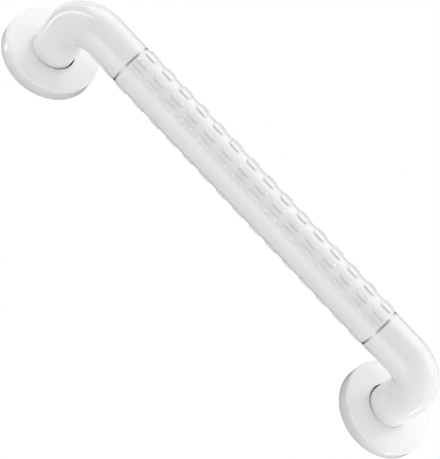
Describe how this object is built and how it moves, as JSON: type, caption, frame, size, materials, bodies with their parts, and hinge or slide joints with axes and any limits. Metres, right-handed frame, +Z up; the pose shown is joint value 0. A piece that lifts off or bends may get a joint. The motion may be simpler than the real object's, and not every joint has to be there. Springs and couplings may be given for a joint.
{
  "type": "grab bar",
  "caption": "White wall-mounted grab bar: a straight grip with rows of raised pads between two smooth elbows, metal spacer rings, and round covers that slide off steel wall plates.",
  "frame": {"origin": "on the wall surface, midway between the centres of the two wall plates", "axes": "+X along the bar, +Y into the wall, +Z up"},
  "size_m": [0.457, 0.0844, 0.077],
  "materials": {
    "grip_nylon": "white moulded nylon, satin gloss",
    "elbow_nylon": "white moulded nylon, polished",
    "cover_plastic": "white moulded plastic, glossy",
    "ring_metal": "turned stainless steel, satin",
    "core_steel": "drawn stainless steel tube",
    "plate_steel": "brushed stainless steel sheet",
    "fastener_steel": "bright stainless steel"
  },
  "bodies": {
    "bar": {"grip_sleeve": "grip_nylon", "core_tube": "core_steel", "ring_left": "ring_metal", "ring_right": "ring_metal", "elbow_left": "elbow_nylon", "elbow_right": "elbow_nylon", "joint_screw_left": "fastener_steel", "joint_screw_right": "fastener_steel", "threaded_insert_left": "fastener_steel", "threaded_insert_right": "fastener_steel", "wall_plate_left": "plate_steel", "wall_plate_right": "plate_steel", "plate_bolt_left": "fastener_steel", "plate_bolt_right": "fastener_steel", "upper_pin_left": "fastener_steel", "upper_pin_right": "fastener_steel", "lower_pin_left": "fastener_steel", "lower_pin_right": "fastener_steel"},
    "left_cover": {"cover_left": "cover_plastic"},
    "right_cover": {"cover_right": "cover_plastic"}
  },
  "joints": [
    {"name": "left_cover_slide", "type": "slide", "parent": "bar", "child": "left_cover", "axis": [0, -1, 0], "range_m": [0, 0.027]},
    {"name": "right_cover_slide", "type": "slide", "parent": "bar", "child": "right_cover", "axis": [0, -1, 0], "range_m": [0, 0.027]}
  ]
}
